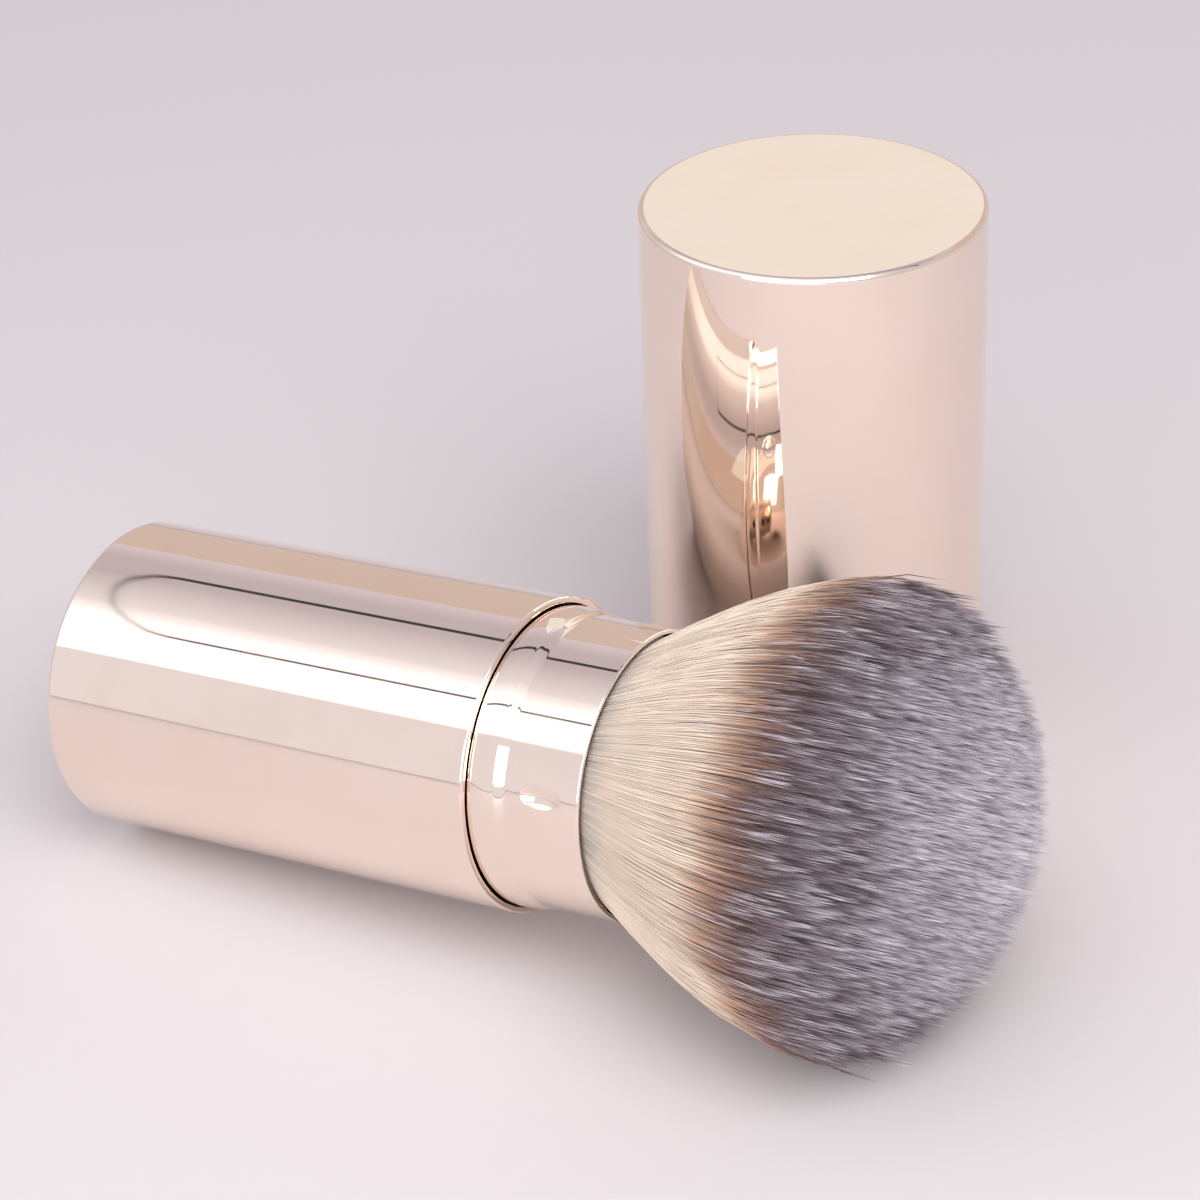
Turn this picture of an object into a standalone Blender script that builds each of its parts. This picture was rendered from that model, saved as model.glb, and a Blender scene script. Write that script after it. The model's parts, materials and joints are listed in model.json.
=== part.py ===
# Retractable face brush with its cap off.
# The brush lies on the rear rim of its sleeve and on the edge of its bristles,
# and the cap stands beside it on its open rim.
# Turned pieces are drawn round their own Z, from the rear of the brush to its tip.

import math

import bmesh
import bpy
from mathutils import Matrix, Vector

# General clearances
seat_gap = 0.0003
merge_distance = 0.00001
sharp_angle = math.radians(32)

# Facets round a turned piece
shown_segments = 48
hidden_segments = 32
edge_steps = 3

# Sliding sleeve: the barrel that the hand holds
sleeve_radius = 0.017
sleeve_wall = 0.0005
sleeve_length = 0.0543
sleeve_rear_edge = 0.00065
sleeve_mouth_edge = 0.00045
lip_reach = 0.0002
lip_depth = 0.0008
lip_slope = 0.0002

# Slide collar and its two brake rings, which grip the sleeve's bore
collar_length = 0.011
collar_clearance = 0.00008
collar_wall = 0.0031
collar_chamfer = 0.0003
brake_thickness = 0.0014
brake_clearance = 0.0001
brake_end_distance = 0.0026
brake_sides = 6

# Ferrule: the drawn tube that holds the bristles
ferrule_reach = 0.0131
shoulder_drop = 0.00058
ferrule_wall = 0.0004
belly_clearance = 0.00012
belly_length = 0.003
belly_crown = 0.00015
shoulder_length = 0.0014
shoulder_steps = 5
mouth_edge = 0.00018
dimple_count = 3
dimple_distance = 0.0046
dimple_length = 0.0046
dimple_width = 0.0024
dimple_depth = 0.00034
dimple_bulge = 0.0007
dimple_angle = math.radians(-108)
dimple_segments = 12
dimple_rings = 6

# Bristle head
bristle_reach = 0.0425
bristle_radius = 0.0251
bristle_widest = 0.0264
dome_power = 1.25
backing_thickness = 0.0008
backing_depth = 0.0009
strand_root = 0.00048
strand_body = 0.0008
strand_tip = 0.00035
strand_sink = 0.0004
root_margin = 0.0011
strand_count = 300
strand_sides = 3
stop_shares = (0, 0.36, 0.8, 1)
golden_turn = math.pi * (3 - math.sqrt(5))
outline_steps = 24
tilt_halvings = 40

# Epoxy that holds the bristles, and the carrier behind it
epoxy_length = 0.0079
epoxy_clearance = 0.0003
waist_length = 0.0062
waist_slope = 0.0002
pilot_clearance = 0.00025
pilot_depth = 0.009

# Base insert, its screw, and the base cup that is pressed to open the brush
insert_wall = 0.0015
insert_front_wall = 0.002
insert_flange = 0.001
screw_radius = 0.00125
screw_reach = 0.0075
screw_head_radius = 0.003
screw_head_height = 0.002
screw_point = 0.0008
hole_clearance = 0.00035
cup_clearance = 0.00025
cup_wall = 0.0006
cup_floor = 0.0008
cup_recess = 0.0002
cup_edge = 0.001
cup_foot_width = 0.0026
cup_dish = 0.0003
cup_dish_slope = 0.0008

# Steel weight on its adhesive pad, inside the base cup
pad_thickness = 0.0008
pad_margin = 0.0015
weight_height = 0.0056
weight_chamfer = 0.0006

# Cap
cap_height = 0.065
cap_wall = 0.0006
cap_top = 0.0006
cap_edge = 0.0007
cap_rim_edge = 0.0001
cap_pad_thickness = 0.0008
cap_pad_margin = 0.0022
liner_wall = 0.0009
liner_top = 0.0008
liner_recess = 0.0009
liner_edge = 0.0004
rib_count = 8
rib_clearance = 0.0001
rib_height = 0.0003
rib_width = 0.0012
rib_start = 0.004
rib_length = 0.026
rib_sink = 0.0003

# Where the cap stands, from the centre of the sleeve's rear rim
cap_ahead = 0.0578
cap_beside = 0.0522

# Sizes worked out from those above
sleeve_bore = sleeve_radius - sleeve_wall
lip_radius = sleeve_bore - lip_reach
collar_radius = sleeve_bore - collar_clearance
collar_front = sleeve_length - lip_depth - seat_gap
collar_rear = collar_front - collar_length
collar_bore = collar_radius - collar_wall
sleeve_travel = collar_rear - seat_gap - lip_depth
belly_radius = lip_radius - belly_clearance
ferrule_neck_radius = belly_radius - shoulder_drop
ferrule_rear = collar_front + seat_gap
ferrule_front = sleeve_length + ferrule_reach
ferrule_bore = ferrule_neck_radius - ferrule_wall
backing_front = ferrule_front - backing_depth
backing_rear = backing_front - backing_thickness
epoxy_radius = ferrule_bore - epoxy_clearance
epoxy_front = backing_rear - seat_gap
epoxy_rear = epoxy_front - epoxy_length
carrier_front = epoxy_rear - seat_gap
carrier_rear = collar_rear
spindle_radius = collar_bore - seat_gap
nose_rear = collar_front + seat_gap
insert_front = carrier_rear - seat_gap
cup_radius = lip_radius - cup_clearance
cup_front = insert_front - insert_flange - seat_gap
insert_radius = cup_radius - cup_wall - seat_gap
pad_rear = cup_recess + cup_floor + cup_dish + seat_gap
weight_rear = pad_rear + pad_thickness + seat_gap
weight_front = weight_rear + weight_height
insert_rear = weight_front + seat_gap
dimple_place = ferrule_front - dimple_distance
rib_face = sleeve_radius + rib_clearance
liner_bore = rib_face + rib_height
liner_radius = liner_bore + liner_wall
cap_bore = liner_radius + seat_gap
cap_radius = cap_bore + cap_wall
fan_root = ferrule_bore - root_margin - strand_root
fan_widest = bristle_radius - strand_tip
widest_place = ferrule_front + bristle_widest
tip_place = ferrule_front + bristle_reach


def clear_scene():
    for old in list(bpy.data.objects):
        bpy.data.objects.remove(old, do_unlink=True)
    for old in list(bpy.data.collections):
        bpy.data.collections.remove(old)


def new_collection(name):
    collection = bpy.data.collections.new(name)
    bpy.context.scene.collection.children.link(collection)
    return collection


def material(name, color, roughness, metallic):
    shade = bpy.data.materials.new(name)
    shade.use_nodes = True
    shader = shade.node_tree.nodes["Principled BSDF"]
    shader.inputs["Base Color"].default_value = (*color, 1)
    shader.inputs["Roughness"].default_value = roughness
    shader.inputs["Metallic"].default_value = metallic
    shade.diffuse_color = (*color, 1)
    return shade


def empty(name, parent=None):
    holder = bpy.data.objects.new(name, None)
    product.objects.link(holder)
    holder.parent = parent
    return holder


def add_object(name, mesh, collection, parent, shade):
    piece = bpy.data.objects.new(name, mesh)
    collection.objects.link(piece)
    piece.parent = parent
    if shade:
        mesh.materials.append(shade)
    return piece


def evaluated_mesh(piece):
    """The piece's mesh with its modifiers worked in."""
    bpy.context.view_layer.update()
    graph = bpy.context.evaluated_depsgraph_get()
    return bpy.data.meshes.new_from_object(piece.evaluated_get(graph))


def settle(piece):
    """Works the modifiers into the mesh and shades the round faces smooth."""
    mesh = evaluated_mesh(piece)
    piece.modifiers.clear()
    piece.data = mesh
    mesh.shade_smooth()
    mesh.set_sharp_from_angle(angle=sharp_angle)
    return piece


def arc(center, radius, start, end, steps=edge_steps):
    """Points of an arc in (radius, height), angles in degrees from the outward direction."""
    points = []
    for step in range(steps + 1):
        turn = math.radians(start + (end - start) * step / steps)
        points.append((center[0] + radius * math.cos(turn), center[1] + radius * math.sin(turn)))
    return points


def turned(name, profile, shade, parent, ring=False, segments=hidden_segments, collection=None):
    """Revolves (radius, height) points round Z: a ring closes the profile, a solid ends on the axis."""
    mesh = bpy.data.meshes.new(name)
    vertices = [(radius, 0, height) for radius, height in profile]
    edges = [(index, index + 1) for index in range(len(profile) - 1)]
    if ring:
        edges.append((len(profile) - 1, 0))
    mesh.from_pydata(vertices, edges, [])
    piece = add_object(name, mesh, collection or product, parent, shade)
    screw = piece.modifiers.new("Turn", "SCREW")
    screw.axis = "Z"
    screw.angle = math.tau
    screw.steps = segments
    screw.render_steps = segments
    screw.use_merge_vertices = True
    screw.merge_threshold = merge_distance
    screw.use_smooth_shade = True
    return piece


def boolean(piece, other, operation):
    change = piece.modifiers.new(operation.title(), "BOOLEAN")
    change.operation = operation
    change.solver = "EXACT"
    change.object = other


def cutter(name, mesh, parent):
    tool = add_object(name, mesh, tools, parent, None)
    tool.hide_render = True
    tool.display_type = "WIRE"
    return tool


def place_points(builder, made, matrix):
    bmesh.ops.transform(builder, matrix=matrix, verts=made["verts"])


def build_sleeve(parent):
    outer = arc((sleeve_radius - sleeve_mouth_edge, sleeve_length - sleeve_mouth_edge),
                sleeve_mouth_edge, 90, 0)
    outer += arc((sleeve_radius - sleeve_rear_edge, sleeve_rear_edge), sleeve_rear_edge, 0, -90)
    inner = [
        (lip_radius, 0),
        (lip_radius, lip_depth),
        (sleeve_bore, lip_depth + lip_slope),
        (sleeve_bore, sleeve_length - lip_depth - lip_slope),
        (lip_radius, sleeve_length - lip_depth),
        (lip_radius, sleeve_length),
    ]
    turned("sliding_sleeve", outer + inner, rose_aluminium, parent, True, shown_segments)


def build_collar(parent):
    groove_half = brake_thickness / 2 + brake_clearance
    groove_floor = collar_radius - brake_thickness - brake_clearance
    profile = [(collar_radius - collar_chamfer, collar_front), (collar_radius, collar_front - collar_chamfer)]
    for place in (collar_front - brake_end_distance, collar_rear + brake_end_distance):
        profile += [
            (collar_radius, place + groove_half),
            (groove_floor, place + groove_half),
            (groove_floor, place - groove_half),
            (collar_radius, place - groove_half),
        ]
    profile += [
        (collar_radius, collar_rear + collar_chamfer),
        (collar_radius - collar_chamfer, collar_rear),
        (collar_bore, collar_rear),
        (collar_bore, collar_front),
    ]
    turned("slide_collar", profile, black_acetal, parent, True)


def build_brake_ring(name, place, parent):
    half = brake_thickness / 2
    profile = arc((collar_radius - half, place), half, 0, -360, brake_sides)[:-1]
    turned(name, profile, clear_silicone, parent, True)


def ferrule_outline():
    """Outer side of the ferrule, mouth to rear: plain neck, hollow shoulder, crowned belly."""
    points = arc((ferrule_neck_radius - mouth_edge, ferrule_front - mouth_edge), mouth_edge, 90, 0)
    shoulder_front = sleeve_length + belly_length + shoulder_length
    step_up = belly_radius - ferrule_neck_radius - belly_crown
    for step in range(shoulder_steps + 1):
        share = step / shoulder_steps
        rise = step_up * (1 - math.cos(math.pi * share)) / 2
        points.append((ferrule_neck_radius + rise, shoulder_front - shoulder_length * share))
    belly_front = sleeve_length + belly_length
    belly_run = belly_front - ferrule_rear
    for step in range(1, edge_steps + 1):
        share = step / edge_steps
        crown = belly_crown * math.sin(math.pi * share)
        points.append((belly_radius - belly_crown + crown, belly_front - belly_run * share))
    return points


def build_ferrule(parent):
    outer = ferrule_outline()
    inner = []
    for radius, height in reversed(outer[edge_steps + 1:]):
        inner.append((radius - ferrule_wall, height))
    inner.append((ferrule_bore, ferrule_front))
    piece = turned("ferrule", outer + inner, rose_aluminium, parent, True, shown_segments)
    reach = dimple_bulge + dimple_depth
    spread = math.sqrt(1 - (dimple_bulge / reach) ** 2) * 2
    bulge_mesh = bpy.data.meshes.new("dimple_bulges")
    recess_mesh = bpy.data.meshes.new("dimple_recesses")
    for mesh, extra in ((bulge_mesh, ferrule_wall), (recess_mesh, 0)):
        builder = bmesh.new()
        for number in range(dimple_count):
            made = bmesh.ops.create_uvsphere(builder, u_segments=dimple_segments,
                                             v_segments=dimple_rings, radius=1)
            size = Matrix.Diagonal((reach, dimple_width / spread + extra,
                                    dimple_length / spread + extra, 1))
            center = Matrix.Translation((ferrule_neck_radius + dimple_bulge - extra, 0, dimple_place))
            turn = Matrix.Rotation(dimple_angle + math.tau * number / dimple_count, 4, "Z")
            place_points(builder, made, turn @ center @ size)
        builder.to_mesh(mesh)
        builder.free()
    bulge = cutter("dimple_bulges", bulge_mesh, parent)
    keep = turned("bulge_limit", [
        (0, ferrule_front),
        ((ferrule_neck_radius + ferrule_bore) / 2, ferrule_front),
        ((ferrule_neck_radius + ferrule_bore) / 2, sleeve_length),
        (0, sleeve_length),
    ], None, parent, False, shown_segments, tools)
    keep.hide_render = True
    keep.display_type = "WIRE"
    boolean(bulge, keep, "INTERSECT")
    boolean(piece, bulge, "UNION")
    boolean(piece, cutter("dimple_recesses", recess_mesh, parent), "DIFFERENCE")
    settle(piece)


def fan_radius(height):
    """Radius of the outermost strand's centre at a height: it leaves the mouth and eases outwards."""
    run = widest_place - backing_front + strand_sink
    share = min(max((height - backing_front + strand_sink) / run, 0), 1)
    return fan_root + (fan_widest - fan_root) * math.sin(share * math.pi / 2)


def dome_height(share):
    """Height where a strand that stands at this share of the head's radius ends."""
    lean = share ** (1 / dome_power)
    return widest_place + (tip_place - widest_place) * math.sqrt(1 - lean * lean)


def strand_stops(fan_share):
    """Centre radius, height and half width at each stop along a strand, root to tip."""
    root = backing_front - strand_sink
    length = dome_height(fan_share) - root
    widths = (strand_root, strand_body, strand_body, strand_tip)
    stops = []
    for share, width in zip(stop_shares, widths):
        height = root + length * share
        stops.append((fan_share * fan_radius(height), height, width))
    return stops


def add_strand(builder, fan_share, turn):
    """A tapered strand with its root in the backing and its tip on the dome."""
    rings = []
    for radius, height, width in strand_stops(fan_share):
        ring = []
        for side in range(strand_sides):
            angle = math.tau * side / strand_sides
            point = Vector((radius + width * math.cos(angle), width * math.sin(angle), height))
            ring.append(builder.verts.new(Matrix.Rotation(turn, 3, "Z") @ point))
        rings.append(ring)
    builder.faces.new(list(reversed(rings[0])))
    builder.faces.new(rings[-1])
    for lower, upper in zip(rings, rings[1:]):
        for side in range(strand_sides):
            following = (side + 1) % strand_sides
            builder.faces.new((lower[side], lower[following], upper[following], upper[side]))


def build_bristles(parent):
    """Strands set like the seeds of a sunflower, the last one at the bottom, fused to a slice of backing."""
    piece = turned("bristles", [
        (0, backing_front),
        (epoxy_radius, backing_front),
        (epoxy_radius, backing_rear),
        (0, backing_rear),
    ], taklon_fibre, parent)
    mesh = bpy.data.meshes.new("strands")
    builder = bmesh.new()
    last = strand_count - 1
    for number in range(strand_count):
        add_strand(builder, math.sqrt((number + 0.5) / (last + 0.5)), (number - last) * golden_turn)
    builder.to_mesh(mesh)
    builder.free()
    boolean(piece, cutter("strands", mesh, parent), "UNION")
    settle(piece)


def build_epoxy(parent):
    waist = epoxy_radius - dimple_depth
    waist_rear = dimple_place - waist_length / 2
    turned("epoxy_plug", [
        (0, epoxy_front),
        (waist, epoxy_front),
        (waist, waist_rear),
        (epoxy_radius, waist_rear - waist_slope),
        (epoxy_radius, epoxy_rear),
        (0, epoxy_rear),
    ], amber_epoxy, parent)


def build_carrier(parent):
    pilot = screw_radius + pilot_clearance
    pilot_end = carrier_rear + pilot_depth
    turned("head_carrier", [
        (0, carrier_front),
        (epoxy_radius, carrier_front),
        (epoxy_radius, nose_rear),
        (spindle_radius, nose_rear),
        (spindle_radius, carrier_rear),
        (pilot, carrier_rear),
        (pilot, pilot_end),
        (0, pilot_end + pilot),
    ], white_abs, parent)


def build_insert(parent):
    hole = screw_radius + hole_clearance
    wall_rear = insert_front - insert_front_wall
    turned("base_insert", [
        (hole, insert_front),
        (cup_radius, insert_front),
        (cup_radius, insert_front - insert_flange),
        (insert_radius, insert_front - insert_flange),
        (insert_radius, insert_rear),
        (insert_radius - insert_wall, insert_rear),
        (insert_radius - insert_wall, wall_rear),
        (hole, wall_rear),
    ], white_abs, parent, True)


def build_screw(parent):
    head_front = insert_front - insert_front_wall - seat_gap
    tip = carrier_rear + screw_reach
    turned("carrier_screw", [
        (0, tip),
        (screw_radius, tip - screw_point),
        (screw_radius, head_front),
        (screw_head_radius, head_front),
        (screw_head_radius, head_front - screw_head_height / 2),
        (screw_head_radius / 2, head_front - screw_head_height),
        (0, head_front - screw_head_height),
    ], zinc_steel, parent)


def build_base_cup(parent):
    bore = cup_radius - cup_wall
    floor = cup_recess + cup_floor + cup_dish
    foot_outer = cup_radius - cup_edge
    foot_inner = foot_outer - cup_foot_width
    profile = [(0, floor), (bore, floor), (bore, cup_front), (cup_radius, cup_front)]
    profile += arc((foot_outer, cup_recess + cup_edge), cup_edge, 0, -90)
    profile += [
        (foot_inner, cup_recess),
        (foot_inner - cup_dish_slope, cup_recess + cup_dish),
        (0, cup_recess + cup_dish),
    ]
    turned("base_cup", profile, rose_aluminium, parent, False, shown_segments)


def build_weight(parent):
    radius = insert_radius
    turned("weight_pad", [
        (0, pad_rear + pad_thickness),
        (radius - pad_margin, pad_rear + pad_thickness),
        (radius - pad_margin, pad_rear),
        (0, pad_rear),
    ], grey_foam, parent)
    turned("base_weight", [
        (0, weight_front),
        (radius - weight_chamfer, weight_front),
        (radius, weight_front - weight_chamfer),
        (radius, weight_rear + weight_chamfer),
        (radius - weight_chamfer, weight_rear),
        (0, weight_rear),
    ], zinc_steel, parent)


def build_cap(parent):
    ceiling = cap_height - cap_top
    profile = [(0, cap_height)]
    profile += arc((cap_radius - cap_edge, cap_height - cap_edge), cap_edge, 90, 0)
    profile += [
        (cap_radius, cap_rim_edge),
        (cap_radius - cap_rim_edge, 0),
        (cap_bore + cap_rim_edge, 0),
        (cap_bore, cap_rim_edge),
        (cap_bore, ceiling),
        (0, ceiling),
    ]
    turned("cap_shell", profile, rose_aluminium, parent, False, shown_segments)
    pad_top = ceiling - seat_gap
    pad_radius = cap_bore - cap_pad_margin
    turned("cap_pad", [
        (0, pad_top),
        (pad_radius, pad_top),
        (pad_radius, pad_top - cap_pad_thickness),
        (0, pad_top - cap_pad_thickness),
    ], grey_foam, parent)
    liner_crown = pad_top - cap_pad_thickness - seat_gap
    liner = turned("cap_liner", [
        (0, liner_crown),
        (liner_radius - liner_edge, liner_crown),
        (liner_radius, liner_crown - liner_edge),
        (liner_radius, liner_recess),
        (liner_bore + liner_edge, liner_recess),
        (liner_bore, liner_recess + liner_edge),
        (liner_bore, liner_crown - liner_top),
        (0, liner_crown - liner_top),
    ], white_abs, parent, False, shown_segments)
    rib_depth = liner_bore + rib_sink - rib_face
    mesh = bpy.data.meshes.new("grip_ribs")
    builder = bmesh.new()
    for number in range(rib_count):
        made = bmesh.ops.create_cube(builder, size=1)
        size = Matrix.Diagonal((rib_depth, rib_width, rib_length, 1))
        center = Matrix.Translation((rib_face + rib_depth / 2, 0, rib_start + rib_length / 2))
        turn = Matrix.Rotation(math.tau * (number + 0.5) / rib_count, 4, "Z")
        place_points(builder, made, turn @ center @ size)
    builder.to_mesh(mesh)
    builder.free()
    boolean(liner, cutter("grip_ribs", mesh, parent), "UNION")
    settle(liner)


def bristle_outline():
    """Outer side of the bristle head as (radius, height), along its outermost strands and tips."""
    points = [(radius + width, height) for radius, height, width in strand_stops(1)]
    for step in range(outline_steps):
        radius, height, width = strand_stops(step / outline_steps)[-1]
        points.append((radius + width, height))
    return points


def lowest(profile, tilt):
    """Lowest point of a turned profile whose axis rises by tilt from the floor."""
    return min(height * math.sin(tilt) - radius * math.cos(tilt) for radius, height in profile)


def resting_tilt():
    """Tilt at which the sleeve's rear rim and the bristles touch the floor together."""
    rim = arc((sleeve_radius - sleeve_rear_edge, sleeve_rear_edge), sleeve_rear_edge, 0, -90)
    head = bristle_outline()
    low = 0
    high = math.pi / 4
    for _ in range(tilt_halvings):
        middle = (low + high) / 2
        if lowest(head, middle) < lowest(rim, middle):
            low = middle
        else:
            high = middle
    return high, -lowest(rim, high)


def center_on_origin(holders):
    """Moves the holders so that the product's box stands centred on the origin."""
    bpy.context.view_layer.update()
    graph = bpy.context.evaluated_depsgraph_get()
    corners = []
    for piece in product.objects:
        if piece.type == "MESH":
            shape = piece.evaluated_get(graph)
            corners += [shape.matrix_world @ vertex.co for vertex in shape.data.vertices]
    middle_x = (min(p.x for p in corners) + max(p.x for p in corners)) / 2
    middle_y = (min(p.y for p in corners) + max(p.y for p in corners)) / 2
    for holder in holders:
        holder.location.x -= middle_x
        holder.location.y -= middle_y
    print("box centre moved by", middle_x, middle_y)


clear_scene()
product = new_collection("retractable_face_brush")
tools = new_collection("cutters")

rose_aluminium = material("anodised_aluminium", (0.83, 0.62, 0.52), 0.12, 1)
taklon_fibre = material("taklon_fibre", (0.52, 0.43, 0.46), 0.6, 0)
black_acetal = material("black_acetal", (0.02, 0.02, 0.02), 0.35, 0)
clear_silicone = material("clear_silicone", (0.75, 0.74, 0.72), 0.4, 0)
amber_epoxy = material("amber_epoxy", (0.62, 0.42, 0.16), 0.25, 0)
white_abs = material("white_abs", (0.8, 0.79, 0.77), 0.4, 0)
zinc_steel = material("zinc_steel", (0.6, 0.6, 0.6), 0.3, 1)
grey_foam = material("grey_foam", (0.3, 0.3, 0.3), 0.9, 0)

tilt, axis_height = resting_tilt()
brush_axis = empty("brush_axis")
brush_axis.location = (0, 0, axis_height)
brush_axis.rotation_euler = (0, math.pi / 2 - tilt, 0)
sleeve_slide = empty("sleeve_slide", brush_axis)
cap_stand = empty("cap_stand")
cap_stand.location = (cap_ahead, cap_beside, 0)

build_sleeve(sleeve_slide)
build_collar(brush_axis)
build_brake_ring("front_brake_ring", collar_front - brake_end_distance, brush_axis)
build_brake_ring("rear_brake_ring", collar_rear + brake_end_distance, brush_axis)
build_ferrule(brush_axis)
build_bristles(brush_axis)
build_epoxy(brush_axis)
build_carrier(brush_axis)
build_insert(brush_axis)
build_screw(brush_axis)
build_base_cup(brush_axis)
build_weight(brush_axis)
build_cap(cap_stand)
for turned_piece in product.objects:
    if turned_piece.type == "MESH" and turned_piece.modifiers:
        settle(turned_piece)
center_on_origin((brush_axis, cap_stand))

print("tilt", math.degrees(tilt), "axis height", axis_height)
print("sleeve travel", sleeve_travel)
print("brush axis", tuple(brush_axis.location), "cap stand", tuple(cap_stand.location))
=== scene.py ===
# Looks of the retractable face brush: rose anodised metal, a two-tone fibre head and the cap beside it.
import json
import math

import bpy
import numpy as np
from mathutils import Matrix, Vector


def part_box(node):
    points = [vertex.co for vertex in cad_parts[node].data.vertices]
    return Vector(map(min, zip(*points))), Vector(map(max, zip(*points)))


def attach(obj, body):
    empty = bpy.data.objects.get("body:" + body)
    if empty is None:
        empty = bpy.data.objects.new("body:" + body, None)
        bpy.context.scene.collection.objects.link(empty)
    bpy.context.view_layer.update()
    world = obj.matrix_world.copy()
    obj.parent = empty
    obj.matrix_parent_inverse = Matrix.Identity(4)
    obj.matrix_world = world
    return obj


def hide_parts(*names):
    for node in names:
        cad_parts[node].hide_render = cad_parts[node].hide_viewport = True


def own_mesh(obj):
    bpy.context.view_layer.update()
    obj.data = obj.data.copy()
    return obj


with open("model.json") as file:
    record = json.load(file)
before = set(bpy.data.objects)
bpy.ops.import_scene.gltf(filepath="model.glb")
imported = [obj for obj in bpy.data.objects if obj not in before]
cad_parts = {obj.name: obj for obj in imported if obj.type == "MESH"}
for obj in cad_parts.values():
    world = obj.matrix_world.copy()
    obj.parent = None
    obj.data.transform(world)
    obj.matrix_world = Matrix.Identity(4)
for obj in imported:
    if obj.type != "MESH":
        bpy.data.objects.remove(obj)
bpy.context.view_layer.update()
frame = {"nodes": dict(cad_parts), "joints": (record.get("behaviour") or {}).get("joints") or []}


# Places along the brush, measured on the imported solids

slideJoint = next(joint for joint in frame["joints"] if joint["name"] == "sleeve_slide")
brushAxis = np.array(slideJoint["axis"]) / np.linalg.norm(slideJoint["axis"])
sideways = np.array([0.0, 1.0, 0.0])
downwards = np.cross(sideways, brushAxis)
axisPoint = np.array([list(corner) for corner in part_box("slide_collar")]).mean(axis=0)


def alongBrush(node):
    # Height of each corner of a solid along the brush axis, and its distance from that axis
    mesh = frame["nodes"][node].data
    flat = np.zeros(len(mesh.vertices) * 3, np.float32)
    mesh.vertices.foreach_get("co", flat)
    offset = flat.reshape(-1, 3) - axisPoint
    height = offset @ brushAxis
    radius = np.linalg.norm(offset - np.outer(height, brushAxis), axis=1)
    return height, radius


axisPoint = axisPoint + brushAxis * alongBrush("sliding_sleeve")[0].min()


def roundBrush(height, radius, turn):
    # Axis point + height along the axis + radius towards a direction that is turned from straight down
    out = np.multiply.outer(np.cos(turn), downwards) + np.multiply.outer(np.sin(turn), sideways)
    return axisPoint + np.multiply.outer(height, brushAxis) + np.asarray(radius)[..., None] * out


capCorners = np.array([list(corner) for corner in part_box("cap_shell")])
capFoot = np.array([*capCorners.mean(axis=0)[:2], capCorners[0, 2]])


def roundCap(height, radius, turn):
    # The same round the cap's upright axis
    out = np.multiply.outer(np.cos(turn), [1.0, 0, 0]) + np.multiply.outer(np.sin(turn), [0, 1.0, 0])
    return capFoot + np.multiply.outer(height, [0, 0, 1.0]) + np.asarray(radius)[..., None] * out


# Building blocks

millimetresPerMetre = 1000
srgbCurve = {
    "mostStep": 255,
    "straightBelow": 0.04045,
    "straightSlope": 12.92,
    "offset": 0.055,
    "power": 2.4,
}


def linearColor(hexText):
    # The sRGB curve turned back to linear light, channel by channel: a straight line near black, and above
    # it (channel + offset) over (1 + offset) to a power
    channels = [int(hexText[i:i + 2], 16) / srgbCurve["mostStep"] for i in (1, 3, 5)]
    offset = srgbCurve["offset"]
    return [c / srgbCurve["straightSlope"] if c <= srgbCurve["straightBelow"]
            else ((c + offset) / (1 + offset)) ** srgbCurve["power"] for c in channels] + [1.0]


def newPiece(name, points, faceGroups, material, sharpDegrees=30, mapGroups=()):
    # One mesh from an array of points and arrays of faces, turned outwards by its signed volume
    fans = [group[:, [0, i, i + 1]] for group in faceGroups for i in range(1, group.shape[1] - 1)]
    a, b, c = (points[np.concatenate(fans)[:, i]] for i in range(3))
    if np.einsum("ij,ij->i", a, np.cross(b, c)).sum() < 0:
        faceGroups = [group[:, ::-1] for group in faceGroups]
        mapGroups = [group[:, ::-1] for group in mapGroups]
    corners = np.concatenate([group.ravel() for group in faceGroups])
    sizes = np.concatenate([np.full(len(group), group.shape[1]) for group in faceGroups])
    mesh = bpy.data.meshes.new(name)
    mesh.vertices.add(len(points))
    mesh.vertices.foreach_set("co", points.astype(np.float32).ravel())
    mesh.loops.add(len(corners))
    mesh.loops.foreach_set("vertex_index", corners.astype(np.int32))
    mesh.polygons.add(len(sizes))
    mesh.polygons.foreach_set("loop_start", (np.cumsum(sizes) - sizes).astype(np.int32))
    mesh.update(calc_edges=True)
    mesh.shade_smooth()
    if sharpDegrees:
        mesh.set_sharp_from_angle(angle=math.radians(sharpDegrees))
    if mapGroups:
        corners = np.concatenate([group.reshape(-1, 2) for group in mapGroups])
        mesh.uv_layers.new(name="OFBake").uv.foreach_set("vector", corners.astype(np.float32).ravel())
    mesh.materials.append(material)
    piece = bpy.data.objects.new(name, mesh)
    bpy.context.scene.collection.objects.link(piece)
    return piece


def gridFaces(rows, columns, closedRows=False):
    # Quads between neighbouring rows; the last column joins the first, and the last row too where it closes
    row = np.arange(rows if closedRows else rows - 1)[:, None]
    column = np.arange(columns)[None, :]
    nextRow, nextColumn = (row + 1) % rows, (column + 1) % columns
    return np.stack([row * columns + column, row * columns + nextColumn,
                     nextRow * columns + nextColumn, nextRow * columns + column], -1).reshape(-1, 4)


def arcPoints(center, radius, start, end, steps):
    # Points of a circle: centre + radius times cosine and sine of the turn
    turn = np.radians(np.linspace(start, end, steps + 1))
    return np.stack([center[0] + radius * np.cos(turn), center[1] + radius * np.sin(turn)], -1)


def wallPoints(start, end, margin, count):
    # Points of a straight wall, one of them close to each end, so that the wall's shading stays straight
    start, end = np.array(start, float), np.array(end, float)
    share = margin / np.linalg.norm(end - start)
    shares = np.concatenate([[share], np.linspace(0, 1, count + 2)[1:-1], [1 - share]])
    return start + shares[:, None] * (end - start)


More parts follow.
